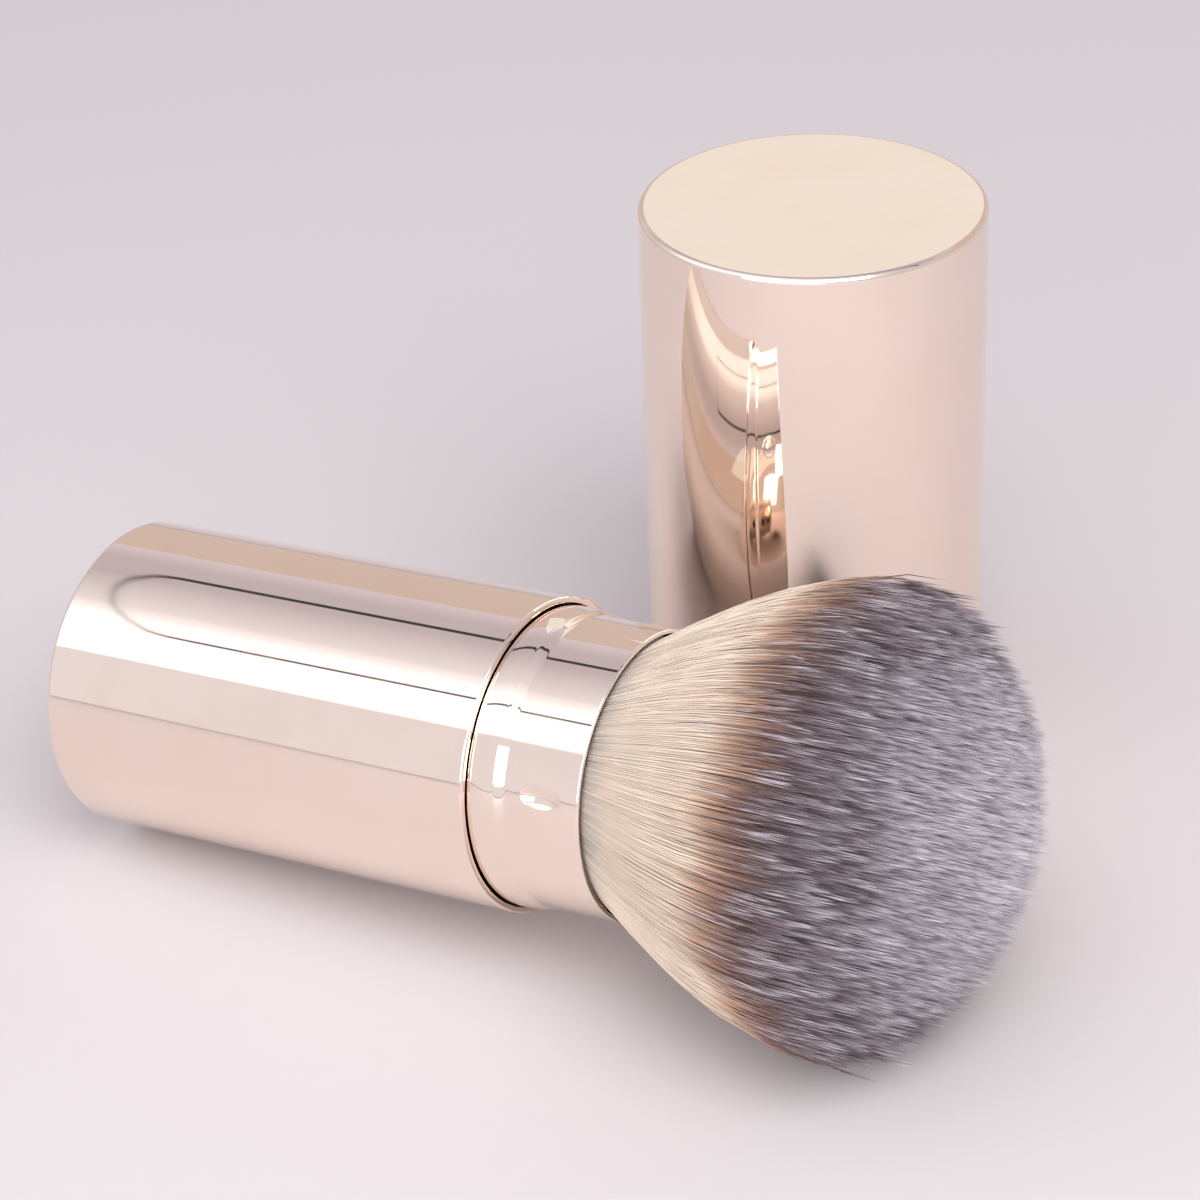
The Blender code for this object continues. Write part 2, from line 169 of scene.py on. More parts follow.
def turnedPiece(name, profile, around, material, turns, closed, dent=None):
    # Each profile point (radius, height) is carried round the axis; an open profile starts and ends on it
    profile = np.asarray(profile, float)
    ring = profile if closed else profile[1:-1]
    radius, turn = np.meshgrid(ring[:, 0], turns, indexing="ij")
    height = np.repeat(ring[:, 1:], len(turns), axis=1)
    if dent is not None:
        radius = radius - dent(radius, height, turn)
    points = around(height, radius, turn).reshape(-1, 3)
    groups = [gridFaces(len(ring), len(turns), closed)]
    if not closed:
        here = np.arange(len(turns))
        following = (here + 1) % len(turns)
        last = (len(ring) - 1) * len(turns)
        groups += [np.stack([following, here, np.full_like(here, len(points))], -1),
                   np.stack([last + here, last + following, np.full_like(here, len(points) + 1)], -1)]
        points = np.concatenate([points, around(profile[[0, -1], 1], np.zeros(2), np.zeros(2))])
    return newPiece(name, points, groups, material)


def evenTurns(count):
    # Turns spread evenly round the circle: two pi times each number over their count
    return np.linspace(0, 2 * np.pi, count, endpoint=False)


# Materials

def addNode(tree, kind, inputs=None, stops=(), **settings):
    # One node with its settings. An input is a plain value or another node's output, and stops are the
    # places and colours of a ramp, from low to high
    node = tree.nodes.new(kind)
    for name, value in settings.items():
        setattr(node, name, value)
    for name, value in (inputs or {}).items():
        if isinstance(value, bpy.types.NodeSocket):
            tree.links.new(value, node.inputs[name])
        else:
            node.inputs[name].default_value = value
    if stops:
        elements = node.color_ramp.elements
        while len(elements) < len(stops):
            elements.new(1)
        for element, (place, color) in zip(elements, stops):
            element.position = place
            element.color = color
    return node


def startMaterial(name):
    # A new material and its node tree, emptied
    material = bpy.data.materials.new(name)
    material.use_nodes = True
    material.node_tree.nodes.clear()
    return material, material.node_tree


metalFinish = {
    "color": "#F8E8DB",
    "rubbedColor": "#F5E3D5",
    "colorRange": (0.35, 0.75),  # heights of the rubbing noise between which the colour changes
    "roughness": 0.03,
    "rubbedRoughness": 0.075,
    "roughnessRange": (0.5, 0.78),  # heights of the same noise between which the gloss softens
    "rubSize": 0.011,
    "rubDetail": 5.0,
    "rubCoarseness": 0.6,
    "waveSize": 0.0045,
    "waveDetail": 1.0,
    "waveDepth": 0.0000014,
    "grainSize": 0.0004,
    "grainDetail": 2.0,
    "grainDepth": 0.00000006,
}


def roseAnodisedAluminium():
    # Drawn, polished and rose anodised: mirror reflections in a warm tint, bent a little by the drawing
    # and softened where hands have rubbed it
    material, tree = startMaterial("rose_anodised_polished_aluminium")
    place = addNode(tree, "ShaderNodeTexCoord").outputs["Object"]
    wave = addNode(tree, "ShaderNodeTexNoise",
                   {"Vector": place, "Scale": 1 / metalFinish["waveSize"],
                    "Detail": metalFinish["waveDetail"]})
    grain = addNode(tree, "ShaderNodeTexNoise",
                    {"Vector": place, "Scale": 1 / metalFinish["grainSize"],
                     "Detail": metalFinish["grainDetail"]})
    rub = addNode(tree, "ShaderNodeTexNoise",
                  {"Vector": place, "Scale": 1 / metalFinish["rubSize"],
                   "Detail": metalFinish["rubDetail"], "Roughness": metalFinish["rubCoarseness"]})
    low, high = metalFinish["roughnessRange"]
    rubbed = addNode(tree, "ShaderNodeMapRange",
                     {"Value": rub.outputs["Fac"], "From Min": low, "From Max": high,
                      "To Min": metalFinish["roughness"], "To Max": metalFinish["rubbedRoughness"]})
    low, high = metalFinish["colorRange"]
    tint = addNode(tree, "ShaderNodeValToRGB", {"Fac": rub.outputs["Fac"]},
                   [(low, linearColor(metalFinish["color"])),
                    (high, linearColor(metalFinish["rubbedColor"]))])
    drawn = addNode(tree, "ShaderNodeBump",
                    {"Height": wave.outputs["Fac"], "Distance": metalFinish["waveDepth"]})
    fine = addNode(tree, "ShaderNodeBump",
                   {"Height": grain.outputs["Fac"], "Distance": metalFinish["grainDepth"],
                    "Normal": drawn.outputs["Normal"]})
    shader = addNode(tree, "ShaderNodeBsdfPrincipled",
                     {"Base Color": tint.outputs["Color"], "Metallic": 1.0,
                      "Roughness": rubbed.outputs["Result"], "Normal": fine.outputs["Normal"]})
    addNode(tree, "ShaderNodeOutputMaterial", {"Surface": shader.outputs["BSDF"]})
    return material


roseMetal = roseAnodisedAluminium()

innerFinishes = {
    # node: material name, colour, speckle colour, roughness, metallic, pattern size, bump depth, slot
    "slide_collar": ("moulded_acetal", "#17171A", "#232327", 0.38, 0.0, 0.0006, 0.000004, "black_acetal"),
    "front_brake_ring": ("moulded_silicone", "#DAD8D2", "#C9C7C1", 0.42, 0.0, 0.0008, 0.000003, "silicone"),
    "rear_brake_ring": ("moulded_silicone", "#DAD8D2", "#C9C7C1", 0.42, 0.0, 0.0008, 0.000003, "silicone"),
    "epoxy_plug": ("cast_epoxy", "#B58A4C", "#9A7038", 0.18, 0.0, 0.0025, 0.000006, "epoxy"),
    "head_carrier": ("moulded_abs", "#E6E4DF", "#DAD7D1", 0.4, 0.0, 0.0005, 0.000003, "white_abs"),
    "base_insert": ("moulded_abs", "#E6E4DF", "#DAD7D1", 0.4, 0.0, 0.0005, 0.000003, "white_abs"),
    "cap_liner": ("moulded_abs", "#E6E4DF", "#DAD7D1", 0.4, 0.0, 0.0005, 0.000003, "white_abs"),
    "carrier_screw": ("zinc_plated_steel", "#BFC2C6", "#A4A8AE", 0.3, 1.0, 0.0004, 0.000004, "zinc_steel"),
    "base_weight": ("zinc_plated_steel", "#BFC2C6", "#A4A8AE", 0.3, 1.0, 0.0004, 0.000004, "zinc_steel"),
    "weight_pad": ("closed_cell_foam", "#6B6B6E", "#565659", 0.9, 0.0, 0.0003, 0.00006, "grey_foam"),
    "cap_pad": ("closed_cell_foam", "#6B6B6E", "#565659", 0.9, 0.0, 0.0003, 0.00006, "grey_foam"),
}


innerPattern = {
    "detail": 3.0,
    "speckleRange": (0.35, 0.7),  # heights of the noise between which the colour changes
    "glossRange": (0.85, 1.15),  # the least and the most roughness, as shares of the finish's own
}


def innerFinish(name, color, speckle, roughness, metallic, size, depth):
    # Plain moulded, cast, plated or foamed surfaces: a little mottling in colour and gloss, and a fine grain
    material, tree = startMaterial(name)
    place = addNode(tree, "ShaderNodeTexCoord").outputs["Object"]
    noise = addNode(tree, "ShaderNodeTexNoise",
                    {"Vector": place, "Scale": 1 / size, "Detail": innerPattern["detail"]})
    low, high = innerPattern["speckleRange"]
    tint = addNode(tree, "ShaderNodeValToRGB", {"Fac": noise.outputs["Fac"]},
                   [(low, linearColor(color)), (high, linearColor(speckle))])
    low, high = innerPattern["glossRange"]
    gloss = addNode(tree, "ShaderNodeMapRange",
                    {"Value": noise.outputs["Fac"], "To Min": roughness * low, "To Max": roughness * high})
    bump = addNode(tree, "ShaderNodeBump", {"Height": noise.outputs["Fac"], "Distance": depth})
    shader = addNode(tree, "ShaderNodeBsdfPrincipled",
                     {"Base Color": tint.outputs["Color"], "Metallic": metallic,
                      "Roughness": gloss.outputs["Result"], "Normal": bump.outputs["Normal"]})
    addNode(tree, "ShaderNodeOutputMaterial", {"Surface": shader.outputs["BSDF"]})
    return material


finishesMade = {}
for node, (finishName, *facts, slotName) in innerFinishes.items():
    if finishName not in finishesMade:
        finishesMade[finishName] = innerFinish(finishName, *facts)
    solid = frame["nodes"][node]
    solid.data.materials.clear()
    solid.data.materials.append(finishesMade[finishName])
print("inner pieces finished")

# Sleeve

sleeveSizes = {
    "wall": 0.0005,
    "lipDepth": 0.0008,
    "lipSlope": 0.0002,
    "rearEdge": 0.00065,
    "mouthEdge": 0.00028,
    "lipEdge": 0.0001,
    "holdMargin": 0.00004,
    "turns": 384,
    "mouthSteps": 10,
    "rearSteps": 12,
    "lipSteps": 3,
    "wallParts": 8,
}


def buildSleeve():
    # The profile: rolled mouth, straight wall and rolled rear, then back along the bore from lip to lip
    height, radius = alongBrush("sliding_sleeve")
    length, outer, lip = height.max(), radius.max(), radius.min()
    rear, mouth, edge = (sleeveSizes[key] for key in ("rearEdge", "mouthEdge", "lipEdge"))
    bore, deep = outer - sleeveSizes["wall"], sleeveSizes["lipDepth"]
    slope = deep + sleeveSizes["lipSlope"]
    margin, lipSteps = sleeveSizes["holdMargin"], sleeveSizes["lipSteps"]
    profile = np.concatenate([
        arcPoints((outer - mouth, length - mouth), mouth, 90, 0, sleeveSizes["mouthSteps"]),
        wallPoints((outer, length - mouth), (outer, rear), margin, sleeveSizes["wallParts"]),
        arcPoints((outer - rear, rear), rear, 0, -90, sleeveSizes["rearSteps"]),
        arcPoints((lip + edge, edge), edge, -90, -180, lipSteps),
        [(lip, deep), (bore, slope), (bore, length - slope), (lip, length - deep)],
        arcPoints((lip + edge, length - edge), edge, 180, 90, lipSteps),
    ])
    turns = evenTurns(sleeveSizes["turns"])
    piece = turnedPiece("sleeve_shell", profile, roundBrush, roseMetal, turns, True)
    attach(piece, "sleeve")
    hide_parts("sliding_sleeve")


buildSleeve()
print("sleeve made")

# Ferrule

ferruleSizes = {
    "wall": 0.0004,
    "bellyAhead": 0.003,
    "bellyCrown": 0.00015,
    "shoulderLength": 0.0014,
    "mouthEdge": 0.00018,
    "dimpleBack": 0.0046,
    "dimpleLength": 0.0046,
    "dimpleWidth": 0.0024,
    "dimpleDepth": 0.00044,
    "dimpleRim": 0.1,
    "dimpleTurns": (-108, 12, 132),
    # Shares of a dimple's length and width: how far the close rings and the close columns reach to either
    # side of its middle, and how far the even columns stay away
    "closeLength": 0.56,
    "closeWidth": 0.6,
    "evenAway": 0.62,
    "turns": 300,
    "dimpleTurnSteps": 36,
    # Rings of the neck ahead of the dimples, across them and behind them
    "neckRings": (5, 66, 6),
    "neckFrontGap": 0.0005,
    "neckRearGap": 0.0001,
    "holdMargin": 0.00003,
    "shoulderSteps": 24,
    "mouthSteps": 8,
    "innerMouthSteps": 4,
    "innerShoulderEvery": 4,
}


def pressDimples(radius, height, turn, place):
    # An oval pan at each staking point: depth times 1 less the squared oval distance, its rim rounded over
    depth = np.zeros_like(radius)
    for degrees in ferruleSizes["dimpleTurns"]:
        away = (turn - math.radians(degrees) + np.pi) % (2 * np.pi) - np.pi
        across = away * radius * 2 / ferruleSizes["dimpleWidth"]
        along = (height - place) * 2 / ferruleSizes["dimpleLength"]
        pan = np.maximum(1 - across ** 2 - along ** 2, -1)
        depth += (pan + np.sqrt(pan ** 2 + ferruleSizes["dimpleRim"] ** 2)) / 2 * (pan > -1)
    return depth * ferruleSizes["dimpleDepth"]


def buildFerrule():
    # The profile: rounded mouth, plain neck, a shoulder that rises like half a cosine and a belly crowned
    # like half a sine, then back inside one wall's thickness away
    height, radius = alongBrush("ferrule")
    front, rear, belly = height.max(), height.min(), radius.max()
    edge, crown, wall = (ferruleSizes[key] for key in ("mouthEdge", "bellyCrown", "wall"))
    neck = radius[height > front - edge * 2].max()
    bellyFront = alongBrush("sliding_sleeve")[0].max() + ferruleSizes["bellyAhead"]
    shoulderFront = bellyFront + ferruleSizes["shoulderLength"]
    place = front - ferruleSizes["dimpleBack"]
    reach = ferruleSizes["dimpleLength"] * ferruleSizes["closeLength"]
    share = np.linspace(0, 1, ferruleSizes["shoulderSteps"] + 1)
    shoulder = np.stack([neck + (belly - crown - neck) * (1 - np.cos(np.pi * share)) / 2,
                         shoulderFront - ferruleSizes["shoulderLength"] * share], -1)
    share = share[1:]
    bellySide = np.stack([belly - crown + crown * np.sin(np.pi * share),
                          bellyFront + (rear - bellyFront) * share], -1)
    ahead, across, behind = ferruleSizes["neckRings"]
    neckHeights = np.concatenate([
        [front - edge - ferruleSizes["holdMargin"]],
        np.linspace(front - ferruleSizes["neckFrontGap"], place + reach, ahead)[:-1],
        np.linspace(place + reach, place - reach, across),
        np.linspace(place - reach, shoulderFront + ferruleSizes["neckRearGap"], behind)[1:],
    ])
    neckWall = np.stack([np.full_like(neckHeights, neck), neckHeights], -1)
    mouth = arcPoints((neck - edge, front - edge), edge, 90, 0, ferruleSizes["mouthSteps"])
    outer = np.concatenate([mouth, neckWall, shoulder, bellySide])
    inside = neck - wall
    inner = np.concatenate([
        [(belly - crown - wall, rear)],
        (shoulder - [wall, 0])[::-ferruleSizes["innerShoulderEvery"]],
        [(inside, place - reach), (inside, place), (inside, place + reach)],
        arcPoints((inside + edge / 2, front - edge / 2), edge / 2, 180, 90, ferruleSizes["innerMouthSteps"]),
    ])
    spread = ferruleSizes["dimpleWidth"] / neck
    half = spread * ferruleSizes["closeWidth"]
    evenOnes, closeOnes = evenTurns(ferruleSizes["turns"]), []
    for degrees in ferruleSizes["dimpleTurns"]:
        center = math.radians(degrees)
        away = np.abs((evenOnes - center + np.pi) % (2 * np.pi) - np.pi)
        evenOnes = evenOnes[away > spread * ferruleSizes["evenAway"]]
        closeOnes.append(np.linspace(center - half, center + half, ferruleSizes["dimpleTurnSteps"]))
    turns = np.sort(np.concatenate([evenOnes, *closeOnes]) % (2 * np.pi))
    piece = turnedPiece("ferrule_tube", np.concatenate([outer, inner]), roundBrush, roseMetal, turns, True,
                        lambda r, h, t: pressDimples(r, h, t, place))
    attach(piece, "core")
    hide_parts("ferrule")


buildFerrule()
print("ferrule made")

# Base cup

cupSizes = {
    "wall": 0.0006,
    "floor": 0.0008,
    "edge": 0.001,
    "footWidth": 0.0026,
    "dish": 0.0003,
    "dishSlope": 0.0008,
    "holdMargin": 0.00004,
    "turns": 320,
    "edgeSteps": 14,
    "slopeSteps": 8,
    "wallParts": 6,
    "footParts": 2,
    "dishParts": 5,
    "centerPart": 20,  # the dish's radius over that of its innermost ring
}


def buildBaseCup():
    # The profile: bore, outer wall, rounded foot, and a dish whose side falls away like half a cosine
    height, radius = alongBrush("base_cup")
    front, outer, recess = height.max(), radius.max(), height.min()
    edge, dish, margin = cupSizes["edge"], cupSizes["dish"], cupSizes["holdMargin"]
    footOuter = outer - edge
    footInner = footOuter - cupSizes["footWidth"]
    floor = recess + cupSizes["floor"] + dish
    bore = outer - cupSizes["wall"]
    share = np.linspace(0, 1, cupSizes["slopeSteps"] + 1)
    slope = np.stack([footInner - cupSizes["dishSlope"] * share,
                      recess + dish * (1 - np.cos(np.pi * share)) / 2], -1)
    dishRadius = footInner - cupSizes["dishSlope"]
    centerRing = (dishRadius / cupSizes["centerPart"], recess + dish)
    profile = np.concatenate([
        [(0, floor), (bore, floor), (bore, front), (outer, front)],
        wallPoints((outer, front), (outer, recess + edge), margin, cupSizes["wallParts"]),
        arcPoints((footOuter, recess + edge), edge, 0, -90, cupSizes["edgeSteps"]),
        wallPoints((footOuter, recess), (footInner, recess), margin, cupSizes["footParts"]),
        slope,
        wallPoints((dishRadius, recess + dish), centerRing, margin, cupSizes["dishParts"]),
        [(0, recess + dish)],
    ])
    turns = evenTurns(cupSizes["turns"])
    piece = turnedPiece("base_cup_shell", profile, roundBrush, roseMetal, turns, False)
    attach(piece, "core")
    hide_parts("base_cup")


buildBaseCup()
print("base cup made")

# Cap

capSizes = {
    "wall": 0.0006,
    "top": 0.0006,
    "edge": 0.0007,
    "rimEdge": 0.0001,
    "holdMargin": 0.00004,
    "turns": 384,
    "edgeSteps": 14,
    "rimSteps": 3,
    "topParts": 8,
    "wallParts": 10,
    "centerPart": 40,  # the top's radius over that of its innermost ring
}


def buildCap():
    # The profile: flat top, rounded edge, straight wall and rounded rim, then back inside up to the ceiling
    outer = (capCorners[1, 0] - capCorners[0, 0]) / 2
    tall = capCorners[1, 2] - capCorners[0, 2]
    edge, rim, margin = capSizes["edge"], capSizes["rimEdge"], capSizes["holdMargin"]
    bore, ceiling = outer - capSizes["wall"], tall - capSizes["top"]
    centerRing = (outer / capSizes["centerPart"], tall)
    rimSteps = capSizes["rimSteps"]
    profile = np.concatenate([
        [(0, tall)],
        wallPoints(centerRing, (outer - edge, tall), margin, capSizes["topParts"]),
        arcPoints((outer - edge, tall - edge), edge, 90, 0, capSizes["edgeSteps"]),
        wallPoints((outer, tall - edge), (outer, rim), margin, capSizes["wallParts"]),
        arcPoints((outer - rim, rim), rim, 0, -90, rimSteps),
        arcPoints((bore + rim, rim), rim, -90, -180, rimSteps),
        [(bore, ceiling), (0, ceiling)],
    ])
    piece = turnedPiece("cap_tube", profile, roundCap, roseMetal, evenTurns(capSizes["turns"]), False)
    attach(piece, "cap")
    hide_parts("cap_shell")


buildCap()
print("cap made")

# Bristle head

headSizes = {
    "mouthRadius": 0.0143,
    "widestAhead": 0.0264,
    "reach": 0.0425,
    "domePower": 1.25,
    "sunk": 0.0012,
    "edgeMargin": 0.0003,
    "aboveFloor": 0.00005,
    "strands": 56000,
    "tipStations": (0.0, 0.0016, 0.0045),  # distances back from a strand's tip that have a ring each
    "bodyParts": (4, 2),  # parts of the rest of a strand, for the outer strands and for the inner ones
    "bakeRows": 12,
    "bakeMargin": 0.1,
    "wedges": 12,
    "squashKeep": 0.6,
    "rootWidth": 0.00011,
    "bodyWidth": 0.00015,
    "tipWidth": 0.00004,
    "swellLength": 0.012,
    "taper": 0.006,
    "finerFrom": 0.86,
    "dyeNet": 128,
    "dyeSpacing": 0.004,
    "dyeDrift": 0.003,
    "dyeBlur": 0.0007,
    "clumpNet": 120,
    "clumpSpacing": 0.00044,
    "clumpPull": 0.6,
    "clumpLength": 0.006,
    "clumpShorter": 0.003,
    "clumpPower": 1.3,
    "clumpLean": 0.00025,
    "leanPower": 4,
    "strandShorter": 0.0016,
    "strandPower": 1.5,
    # Some clumps near the head's side are short: how many, by how much at most, from which share of its
    # radius, and over how much of it this grows to the full
    "shortOnes": 0.6,
    "shortMost": 0.01,
    "shortFrom": 0.7,
    "shortOver": 0.2,
    "bend": 0.00015,
    "waver": 0.00003,
    # Some fibres at its very side stray: how many at most, from which share of its radius, how steeply their
    # number grows there, and how far they lean out and reach beyond the dome
    "strayOnes": 0.02,
    "strayFrom": 0.9,
    "straySlope": 10,
    "strayLean": 0.0012,
    "strayLonger": 0.0015,
    "seed": 11,
    # Distance ahead of the ferrule's mouth in millimetres, and the fibre's dyed colour there
    "fibre": [(0.0, "#E4D3C0"), (16.0, "#DFCBB6"), (19.5, "#B38D74"), (22.5, "#7A5447"), (26.0, "#52393D"),
              (33.0, "#5B4A55"), (44.0, "#E6DEE9")],
    # Distances back from the fibre's own tip, and how much of the pale tip colour shows there
    "tip": ((0.0, 0.0016, 0.0045), (1.0, 0.75, 0.0)),
    "tipColor": "#E2D9E2",
    "tipLeast": 0.4,  # the least pale share at any fibre's very tip
    # A strand's pale share: a start, what its clump adds at most, and how far it strays by itself
    "paleStart": -0.7,
    "clumpPale": 1.65,
    "strandPale": 0.4,
    # A strand's own light and dark in the same way
    "toneStart": 0.4,
    "clumpTone": 0.7,
    "strandTone": 0.4,
    # Distances ahead of the mouth, and how much of that light and dark shows there
    "toneShown": ((0.0, 0.002, 0.015, 0.024), (0.5, 0.2, 0.2, 1.0)),
    # Distances ahead of the mouth, and how dark the picked strands are painted there: painted shade where
    # shade falls between the strands at the ferrule's mouth
    "rootShade": ((0.0, 0.0008, 0.0028), (0.45, 0.65, 1.0)),
    # the share of strands, picked at random, that get this painted shade
    "rootShaded": 0.2,
    "roughness": 0.5,
    "gloss": 0.35,
    "sheen": 0.3,
}


def fanRadius(ahead):
    # The fan leaves the ferrule's mouth and eases out to its widest like a sine
    share = np.clip((ahead + headSizes["sunk"]) / (headSizes["widestAhead"] + headSizes["sunk"]), 0, 1)
    return headSizes["mouthRadius"] + (headWidest - headSizes["mouthRadius"]) * np.sin(share * np.pi / 2)


def domeAhead(share):
    # How far ahead of the mouth a strand ends that stands at this share of the head's radius
    lean = np.clip(share, 0, 1) ** (2 / headSizes["domePower"])
    return headSizes["widestAhead"] + (headSizes["reach"] - headSizes["widestAhead"]) * np.sqrt(1 - lean)


headWidest = alongBrush("bristles")[1].max()
ferruleMouth = alongBrush("ferrule")[0].max()


def fibreMaterial():
    # Taklon, drawn polyester filament dyed in zones: cream root, brown band, plum body and pale lilac tip,
    # with painted shade on some strands near the mouth
    material, tree = startMaterial("dyed_taklon_filament")
    reach = headSizes["fibre"][-1][0]
    ahead = addNode(tree, "ShaderNodeAttribute", attribute_name="aheadOfMouth")
    zone = addNode(tree, "ShaderNodeValToRGB", {"Fac": ahead.outputs["Fac"]},
                   [(place / reach, linearColor(color)) for place, color in headSizes["fibre"]])
    # The tone holds each strand's own light and dark and the painted shade near the ferrule's mouth
    tone = addNode(tree, "ShaderNodeAttribute", attribute_name="tone")
    dark = addNode(tree, "ShaderNodeHueSaturation",
                   {"Color": zone.outputs["Color"], "Value": tone.outputs["Fac"]})
    pale = addNode(tree, "ShaderNodeAttribute", attribute_name="paleness")
    # Inputs 0, 6 and 7 and output 2 of a Mix node are its share, its two colours and the mixed one
    mixed = addNode(tree, "ShaderNodeMix",
                    {0: pale.outputs["Fac"], 6: dark.outputs["Color"],
                     7: linearColor(headSizes["tipColor"])},
                    data_type="RGBA")
    shader = addNode(tree, "ShaderNodeBsdfPrincipled",
                     {"Base Color": mixed.outputs[2], "Roughness": headSizes["roughness"],
                      "Specular IOR Level": headSizes["gloss"], "Sheen Weight": headSizes["sheen"]})
    addNode(tree, "ShaderNodeOutputMaterial", {"Surface": shader.outputs["BSDF"]})
    return material


def clumpsAt(flat, draw):
    # Each strand belongs to the nearest centre of a square net whose knots are moved about at random
    size, count = headSizes["clumpSpacing"], headSizes["clumpNet"]
    knots = draw.random((count, count, 2))
    cell = np.floor(flat / size).astype(int)
    best = np.full(len(flat), np.inf)
    center = np.zeros_like(flat)
    number = np.zeros(len(flat), int)
    for step in ((x, y) for x in (-1, 0, 1) for y in (-1, 0, 1)):
        near = cell + step
        spot = near % count
        candidate = (near + knots[spot[:, 0], spot[:, 1]]) * size
        gap = ((candidate - flat) ** 2).sum(axis=1)
        closer = gap < best
        best[closer] = gap[closer]
        center[closer] = candidate[closer]
        number[closer] = (spot[:, 0] * count + spot[:, 1])[closer]
    return center, number


def sunflower(count):
    # Strand n stands at the root of n over count of the radius, turned on by the golden angle each time
    index = np.arange(count) + 0.5
    return np.sqrt(index / count), index * np.pi * (3 - np.sqrt(5)) % (2 * np.pi)


def smoothNoise(flat, cell, draw):
    # Random heights on a square net, blended between its four nearest knots with a smooth step
    count = headSizes["dyeNet"]
    net = draw.random((count, count))
    spot = flat / cell + count / 2
    low = np.floor(spot).astype(int)
    part = spot - low
    part = part * part * (3 - 2 * part)
    low %= count - 1
    x, y = low[:, 0], low[:, 1]
    near = net[x, y] * (1 - part[:, 0]) + net[x + 1, y] * part[:, 0]
    far = net[x, y + 1] * (1 - part[:, 0]) + net[x + 1, y + 1] * part[:, 0]
    return near * (1 - part[:, 1]) + far * part[:, 1]


def strandBatch(strands, parts, draw):
    # Three-sided strands: rings of three points around each centre line, ending in one point. A centre line
    # keeps its share of the fan's radius, and near its tip it leans and closes up with its clump
    sides = 3
    count, end = len(strands["end"]), strands["end"][:, None]
    near = np.array(headSizes["tipStations"])
    rest = np.linspace(0, 1, parts + 1)[1:]
    whole = end + headSizes["sunk"]
    fromTip = np.concatenate([np.tile(near, (count, 1)), near[-1] + (whole - near[-1]) * rest], 1)[:, ::-1]
    ahead = end - fromTip
    rings = fromTip.shape[1] - 1
    outwards = np.stack([np.cos(strands["turn"]), np.sin(strands["turn"])], -1)[:, None, :]
    across = outwards * (strands["inside"][:, None] * fanRadius(ahead))[..., None]
    closing = np.clip(1 - fromTip / headSizes["clumpLength"], 0, 1)[..., None]
    across = across + strands["pull"][:, None, :] * closing * (2 - closing)
    leaning = np.clip(ahead / headSizes["widestAhead"], 0, 1)[..., None] ** headSizes["leanPower"]
    across = across + strands["lean"][:, None, :] * leaning
    loose = np.clip(ahead / headSizes["swellLength"], 0, 1)[..., None] * headSizes["waver"]
    across = across + draw.normal(0, 1, across.shape) * loose
    swell = np.clip((ahead + headSizes["sunk"]) / headSizes["swellLength"], 0, 1)
    width = headSizes["rootWidth"] + (headSizes["bodyWidth"] - headSizes["rootWidth"]) * swell
    tapered = np.clip(fromTip / headSizes["taper"], 0, 1)
    width = headSizes["tipWidth"] + (width - headSizes["tipWidth"]) * tapered
    corner = draw.random(count)[:, None, None] * 2 * np.pi + np.arange(sides) * 2 * np.pi / sides
    ring = np.stack([np.cos(corner), np.sin(corner)], -1) * width[:, :-1, None, None] / 2
    ring = ring + across[:, :-1, None, :]
    flatRing = np.concatenate([ring.reshape(count, -1, 2), across[:, -1:, :]], 1)
    flatAhead = np.concatenate([np.repeat(ahead[:, :-1], sides, axis=1), ahead[:, -1:]], 1)
    flatTip = np.concatenate([np.repeat(fromTip[:, :-1], sides, axis=1), fromTip[:, -1:]], 1)
    points = (axisPoint + (flatAhead + ferruleMouth)[..., None] * brushAxis
              + flatRing[..., :1] * downwards + flatRing[..., 1:] * sideways)
    points[..., 2] = np.maximum(points[..., 2], headSizes["aboveFloor"])
    size = rings * sides + 1
    level = np.arange(rings - 1)[:, None] * sides
    above = level + sides
    side = np.arange(sides)[None, :]
    following = (side + 1) % sides
    quads = np.stack([level + side, level + following, above + following, above + side], -1).reshape(-1, 4)
    last = (rings - 1) * sides
    tips = np.array([[last + k, last + (k + 1) % sides, size - 1] for k in range(sides)])
    root = np.array([[0, 2, 1]])
    base = (np.arange(count) * size)[:, None, None]
    left, right = side + 0 * level, side + 1 + 0 * level
    quadMap = np.stack([left, right, right, left], -1)
    quadRise = np.stack([level, level, above, above], -1) + 0 * quadMap
    quadMap = np.stack([quadMap / sides, quadRise / sides / rings], -1).reshape(-1, 4, 2)
    crown = (rings - 1) / rings
    tipMap = [[[k / sides, crown], [(k + 1) / sides, crown], [(k + 0.5) / sides, 1]] for k in range(sides)]
    endMap = np.array(tipMap + [[[0, 0], [2 / sides, 0], [1 / sides, 0]]])
    tone = 1 + (strands["tone"][:, None] - 1) * np.interp(flatAhead, *headSizes["toneShown"])
    # Painted shade: the picked strands are darkened towards the ferrule's mouth, and it rides in the tone
    # with each strand's own light and dark
    shade = np.interp(flatAhead, *headSizes["rootShade"])
    tone *= np.where(strands["shaded"][:, None], shade, 1)
    return {
        "points": points.reshape(-1, 3),
        "quads": (quads[None] + base).reshape(-1, 4),
        "triangles": (np.concatenate([tips, root])[None] + base).reshape(-1, 3),
        "quadMap": np.tile(quadMap, (count, 1, 1, 1)),
        "triangleMap": np.tile(endMap, (count, 1, 1, 1)),
        "dyePlace": (flatAhead + strands["dyeShift"][:, None]).ravel(),
        "tone": tone.ravel(),
        "paleness": np.maximum(np.interp(flatTip, *headSizes["tip"]) * strands["pale"][:, None],
                               (flatTip <= 0) * headSizes["tipLeast"]).ravel(),
    }


